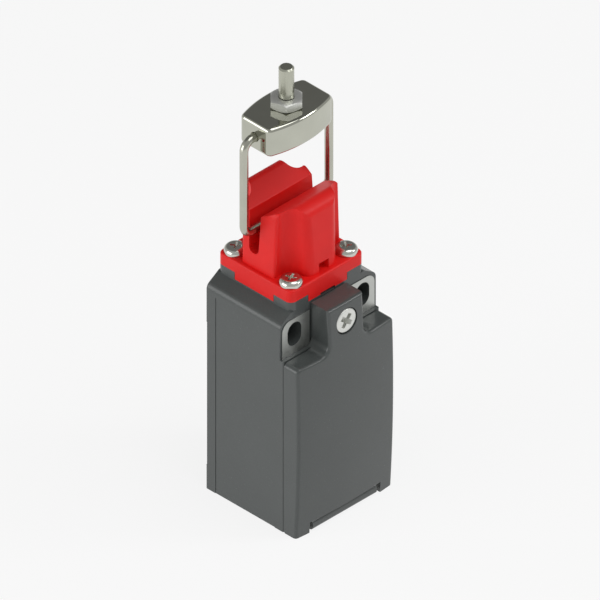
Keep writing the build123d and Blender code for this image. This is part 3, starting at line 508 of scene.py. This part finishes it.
class INTERLOCK_OT_head_screws(InterlockOperator, bpy.types.Operator):
    """Turn four pan head screws with cross recesses"""

    bl_idname = "interlock.head_screws"
    bl_label = "Head screws"

    def execute(self, context):
        sizes = context.scene.interlock_sizes
        low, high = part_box("head_screws")
        seat = high.z - sizes.screw_head_height
        offset = high.x - sizes.screw_head
        first = cross_screw("pan_head_screws", sizes, sizes.screw_head, sizes.screw_head_height,
                            sizes.screw_head_rounding, 8, sizes.screw_shank, sizes.screw_reach,
                            (sizes.cross_length, sizes.cross_width, sizes.cross_depth))
        # Side of each screw in X and Y, and how far it happens to be turned
        turns = ((-1, -1, 20), (1, -1, 55), (-1, 1, 35), (1, 1, 80))
        copies = []
        for x, y, degrees in turns:
            screw = first.copy()
            screw.data = first.data.copy()
            context.collection.objects.link(screw)
            settle(screw, (0, 0, math.radians(degrees)), (x * offset, y * offset, seat))
            copies.append(screw)
        bpy.data.objects.remove(first, do_unlink=True)
        make_active(copies[0])
        for screw in copies:
            screw.select_set(True)
        bpy.ops.object.join()
        copies[0].name = "pan_head_screws"
        # Bright zinc plate on cold-headed steel: glossy, a little uneven from the bath
        zinc = worked_metal("zinc_plated_steel", context.scene.interlock_finishes.zinc, 0.14, 0.26,
                            0.5, (1.0, 1.0, 1.0), 0.06)
        finish_piece(copies[0], zinc, "zinc_plated_steel", "housing", "head_screws")
        return {"FINISHED"}


class INTERLOCK_OT_cover_screw(InterlockOperator, bpy.types.Operator):
    """Turn the flush cross-recessed screw in the cover's tongue"""

    bl_idname = "interlock.cover_screw"
    bl_label = "Cover screw"

    def execute(self, context):
        sizes = context.scene.interlock_sizes
        low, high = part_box("cover_screw")
        reach = high.y - low.y - sizes.cover_head_height
        screw = cross_screw("cover_fixing_screw", sizes, sizes.cover_head, sizes.cover_head_height,
                            sizes.cover_head_rounding, 4, sizes.cover_shank, reach,
                            (sizes.cover_cross_length, sizes.cover_cross_width,
                             sizes.cover_cross_depth))
        # Laid along Y, its cross turned as the photo shows it
        settle(screw, (math.radians(90), math.radians(38), 0),
               (0, low.y + sizes.cover_head_height, (low.z + high.z) / 2))
        finish_piece(screw, bpy.data.materials["zinc_plated_steel"], "zinc_plated_steel",
                     "cover_screw", "cover_screw")
        return {"FINISHED"}


class INTERLOCK_OT_wire_loop(InterlockOperator, bpy.types.Operator):
    """Bend the wire loop"""

    bl_idname = "interlock.wire_loop"
    bl_label = "Wire loop"

    def execute(self, context):
        sizes = context.scene.interlock_sizes
        low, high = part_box("wire_loop")
        wire, bend = sizes.wire, sizes.bend
        side = high.x - wire
        bar = low.z + wire
        pivot = high.z - wire
        plane = (low.y + high.y) / 2
        end = sizes.wire_end
        deselect()
        bpy.ops.mesh.primitive_circle_add(vertices=32, radius=wire, fill_type="NOTHING",
                                          location=(-end, plane, pivot),
                                          rotation=(0, math.pi / 2, 0))
        loop = bpy.context.object
        loop.name = "bent_wire_loop"
        bpy.ops.object.transform_apply(location=True, rotation=True, scale=True)
        bpy.ops.object.mode_set(mode="EDIT")
        bpy.ops.mesh.select_mode(type="EDGE")
        bpy.ops.mesh.select_all(action="SELECT")
        # Each straight run, and the centre of the bend that follows it
        outward = (end - side + bend, 0, 0)
        runs = (
            (outward, (-side + bend, plane, pivot - bend)),
            ((0, 0, bar - pivot + 2 * bend), (-side + bend, plane, bar + bend)),
            ((2 * (side - bend), 0, 0), (side - bend, plane, bar + bend)),
            ((0, 0, pivot - bar - 2 * bend), (side - bend, plane, pivot - bend)),
        )
        for run, centre in runs:
            bpy.ops.mesh.extrude_region_move(TRANSFORM_OT_translate={"value": run})
            bpy.ops.mesh.spin(steps=14, angle=math.pi / 2, center=centre, axis=(0, 1, 0))
        bpy.ops.mesh.extrude_region_move(TRANSFORM_OT_translate={"value": outward})
        select_where("edges", lambda e: e.is_boundary)
        bpy.ops.mesh.edge_face_add()
        bpy.ops.mesh.select_all(action="SELECT")
        bpy.ops.mesh.remove_doubles(threshold=WELD)
        bpy.ops.mesh.normals_make_consistent(inside=False)
        bpy.ops.object.mode_set(mode="OBJECT")
        smooth(loop, 40)
        # Cold-drawn stainless wire, tumbled bright: faint draw lines along the legs
        steel = worked_metal("polished_stainless", context.scene.interlock_finishes.stainless,
                             0.16, 0.28, 0.35, (1.0, 1.0, 0.08), 0.08)
        finish_piece(loop, steel, "polished_stainless", "wire_loop", "wire_loop")
        return {"FINISHED"}


class INTERLOCK_OT_yoke(InterlockOperator, bpy.types.Operator):
    """Plate the bright yoke, its stud and nut"""

    bl_idname = "interlock.yoke"
    bl_label = "Yoke, stud and nut"

    def execute(self, context):
        look = context.scene.interlock_finishes
        # Nickel-chrome plate on a polished block: a mirror with the faintest orange peel
        chrome = worked_metal("polished_chrome", look.chrome, 0.04, 0.1, 1.5, (1.0, 1.0, 1.0), 0.02)
        yoke = from_node("yoke_block", "plated_yoke")
        finish_piece(yoke, chrome, "polished_chrome", "yoke", "yoke_block")
        # Drawn rod under a thin zinc plate, the nut's finish: its colour is the zinc darkened as
        # painted shade, and it is rougher than the nut, with its draw lines still showing
        drawn = worked_metal("drawn_stud", look.stud, 0.2, 0.36, 0.4, (1.0, 1.0, 0.1), 0.12)
        for node, finish in (("stud", drawn), ("nut", bpy.data.materials["zinc_plated_steel"])):
            piece = from_node(node, f"plated_{node}", 30)
            finish_piece(piece, finish, "zinc_plated_steel", "yoke", node)
        return {"FINISHED"}


class INTERLOCK_OT_inner_pieces(InterlockOperator, bpy.types.Operator):
    """Finish the contacts, springs, seals and small inner pieces"""

    bl_idname = "interlock.inner_pieces"
    bl_label = "Inner pieces"

    def execute(self, context):
        look = context.scene.interlock_finishes
        zinc = bpy.data.materials["zinc_plated_steel"]
        steel = bpy.data.materials["polished_stainless"]
        # Oil-tempered spring wire, with fine marks of the drawing die
        spring = worked_metal("spring_steel", look.spring, 0.28, 0.42, 0.3, (1.0, 1.0, 1.0), 0.1)
        # Rolled brass strip, with roll marks along X
        brass = worked_metal("rolled_brass", look.brass, 0.2, 0.34, 0.4, (0.2, 1.0, 1.0), 0.12)
        # Black glass-filled polyamide of the contact block
        black = moulded_plastic("black_moulding", look.black, 0.45, 0.6)
        # Natural acetal of the sliding rod and the lid
        pale = moulded_plastic("pale_moulding", look.pale, 0.4, 0.55)
        # Nitrile rubber with the dull skin of its mould
        rubber = moulded_plastic("sealing_rubber", look.rubber, 0.65, 0.8)
        groups = (
            (zinc, ("terminal_screws", "terminal_clamps", "block_screws", "earth_screw",
                    "earth_clamp")),
            (steel, ("hinge_pin", "screw_retainer")),
            (spring, ("return_spring", "bridge_springs")),
            (brass, ("fixed_contacts", "contact_bridges", "guide_bush")),
            (black, ("contact_base", "spring_seat", "plunger")),
            (pale, ("drive_rod", "contact_lid")),
            (rubber, ("cover_gasket", "head_seal", "plunger_seal")),
        )
        for material, nodes in groups:
            paint_nodes(material, *nodes)
        return {"FINISHED"}


class INTERLOCK_OT_stage(InterlockOperator, bpy.types.Operator):
    """Set the camera, the floor, the lamps and the surroundings"""

    bl_idname = "interlock.stage"
    bl_label = "Stage"

    def execute(self, context):
        stage = context.scene.interlock_stage
        place_camera(stage)
        lay_floor(stage)
        hang_lamps()
        light_world(stage)
        context.scene.view_settings.view_transform = "Standard"
        return {"FINISHED"}


def place_camera(stage):
    """Isometric view from the left front."""
    # The point that the photo has at its middle
    centre = Vector((1.42, -1.42, 49.04)) * MM
    sight = Vector((1, 1, -1)).normalized()
    lens = bpy.data.cameras.new("camera")
    lens.type = "ORTHO"
    lens.ortho_scale = stage.view_height
    lens.clip_end = 5
    camera = bpy.data.objects.new("camera", lens)
    camera.location = centre - sight * 0.5
    camera.rotation_euler = sight.to_track_quat("-Z", "Y").to_euler()
    bpy.context.collection.objects.link(camera)
    bpy.context.scene.camera = camera


def seen_directly(tree):
    """1 for what the camera sees straight, in a mirror or through glass."""
    path = add(tree, "ShaderNodeLightPath").outputs
    mirrored = add(tree, MATH, {0: path["Is Camera Ray"], 1: path["Is Glossy Ray"]},
                   operation="MAXIMUM")
    return add(tree, MATH, {0: mirrored, 1: path["Is Transmission Ray"]}, operation="MAXIMUM")


def lay_floor(stage):
    """Seamless paper: even and matt, with a grain too fine to see. Part of what is seen is its own
    shade, which keeps the object's shadow on it."""
    deselect()
    bpy.ops.mesh.primitive_plane_add(size=2 * stage.floor_half, location=(0, 0, -stage.floor_gap))
    floor = bpy.context.object
    floor.name = "floor"
    material, tree, place = new_material("pale_floor")
    fibre = add(tree, NOISE, {"Vector": place, "Scale": per_metre(1.5), "Detail": 2.0})
    tint = add(tree, MIX, {"Factor": fibre, FIRST: rgba(stage.ground, 0.99),
                           SECOND: rgba(stage.ground, 1.01)}, data_type="RGBA").outputs[MIXED]
    paper = add(tree, "ShaderNodeBsdfDiffuse", {"Color": tint})
    even = add(tree, "ShaderNodeEmission", {"Color": rgba(stage.ground),
                                            "Strength": stage.floor_glow})
    share = add(tree, MATH, {0: seen_directly(tree), 1: 1 - stage.shadow}, operation="MULTIPLY")
    both = add(tree, "ShaderNodeMixShader", {"Fac": share, 1: paper, 2: even})
    add(tree, MATERIAL_OUT, {"Surface": both})
    floor.data.materials.append(material)


def hang_lamps():
    """Soft boxes at the left, in front and above. The back stays dark, and the bright plate shows
    it. Each lamp has its place and its side in metres, and its power in watts."""
    lamps = (
        ("left_lamp", (-0.6, 0.2, 0.12), 0.5, 2.05),
        ("front_lamp", (0.45, -0.47, 0.45), 0.16, 0.8),
        ("top_lamp", (0.1, -0.26, 0.74), 0.45, 1.6),
    )
    aim = Vector((0, 0, 55 * MM))
    for name, place, size, power in lamps:
        light = bpy.data.lights.new(name, "AREA")
        light.shape = "SQUARE"
        light.size = size
        light.energy = power
        lamp = bpy.data.objects.new(name, light)
        lamp.location = place
        lamp.rotation_euler = (aim - lamp.location).to_track_quat("-Z", "Y").to_euler()
        bpy.context.collection.objects.link(lamp)


def light_world(stage):
    """A pale tent that is open, and so darker, overhead and behind the object."""
    world = bpy.data.worlds.new("tent")
    bpy.context.scene.world = world
    world.use_nodes = True
    tree = world.node_tree
    tree.nodes.clear()
    toward = add(tree, "ShaderNodeTexCoord").outputs["Generated"]
    # The direction of the opening's middle; the tent ends where the product with it goes from
    # the first of these limits to the second
    opening = add(tree, VECTOR_MATH, {0: toward, 1: (0.45, 0.45, 1.0)}, operation="DOT_PRODUCT")
    dim = add(tree, MAP_RANGE, {"Value": opening.outputs["Value"], "From Min": 0.62,
                                "From Max": 0.95, "To Min": 0.55, "To Max": 0.2},
              interpolation_type="SMOOTHSTEP")
    tent = add(tree, "ShaderNodeBackground", {"Color": rgba(stage.ground), "Strength": dim})
    pale = add(tree, "ShaderNodeBackground", {"Color": rgba(stage.ground), "Strength": 1.0})
    seen = add(tree, "ShaderNodeLightPath").outputs["Is Camera Ray"]
    both = add(tree, "ShaderNodeMixShader", {"Fac": seen, 1: tent, 2: pale})
    add(tree, "ShaderNodeOutputWorld", {"Surface": both})


class INTERLOCK_PT_panel(bpy.types.Panel):
    """Lists the pieces of the switch"""

    bl_idname = "INTERLOCK_PT_panel"
    bl_label = "Interlock switch"
    bl_space_type = "VIEW_3D"
    bl_region_type = "UI"
    bl_category = "Interlock"

    def draw(self, context):
        for operator in OPERATORS:
            self.layout.operator(operator.bl_idname)
        for group in ("interlock_finishes", "interlock_sizes", "interlock_stage"):
            settings = getattr(context.scene, group)
            box = self.layout.box()
            for name in settings.bl_rna.properties.keys():
                if name not in ("rna_type", "name"):
                    box.prop(settings, name)


OPERATORS = (
    INTERLOCK_OT_housing,
    INTERLOCK_OT_head,
    INTERLOCK_OT_head_screws,
    INTERLOCK_OT_cover_screw,
    INTERLOCK_OT_wire_loop,
    INTERLOCK_OT_yoke,
    INTERLOCK_OT_inner_pieces,
    INTERLOCK_OT_stage,
)
GROUPS = {
    "interlock_finishes": InterlockFinishes,
    "interlock_sizes": InterlockSizes,
    "interlock_stage": InterlockStage,
}


def register():
    for group in GROUPS.values():
        bpy.utils.register_class(group)
    for operator in OPERATORS:
        bpy.utils.register_class(operator)
    bpy.utils.register_class(INTERLOCK_PT_panel)
    for name, group in GROUPS.items():
        setattr(bpy.types.Scene, name, bpy.props.PointerProperty(type=group))


def unregister():
    for name in GROUPS:
        delattr(bpy.types.Scene, name)
    bpy.utils.unregister_class(INTERLOCK_PT_panel)
    for operator in reversed(OPERATORS):
        bpy.utils.unregister_class(operator)
    for group in GROUPS.values():
        bpy.utils.unregister_class(group)


def main():
    register()
    bpy.ops.interlock.housing()
    bpy.ops.interlock.head()
    bpy.ops.interlock.head_screws()
    bpy.ops.interlock.cover_screw()
    bpy.ops.interlock.wire_loop()
    bpy.ops.interlock.yoke()
    bpy.ops.interlock.inner_pieces()
    bpy.ops.interlock.stage()


if __name__ == "__main__":
    main()
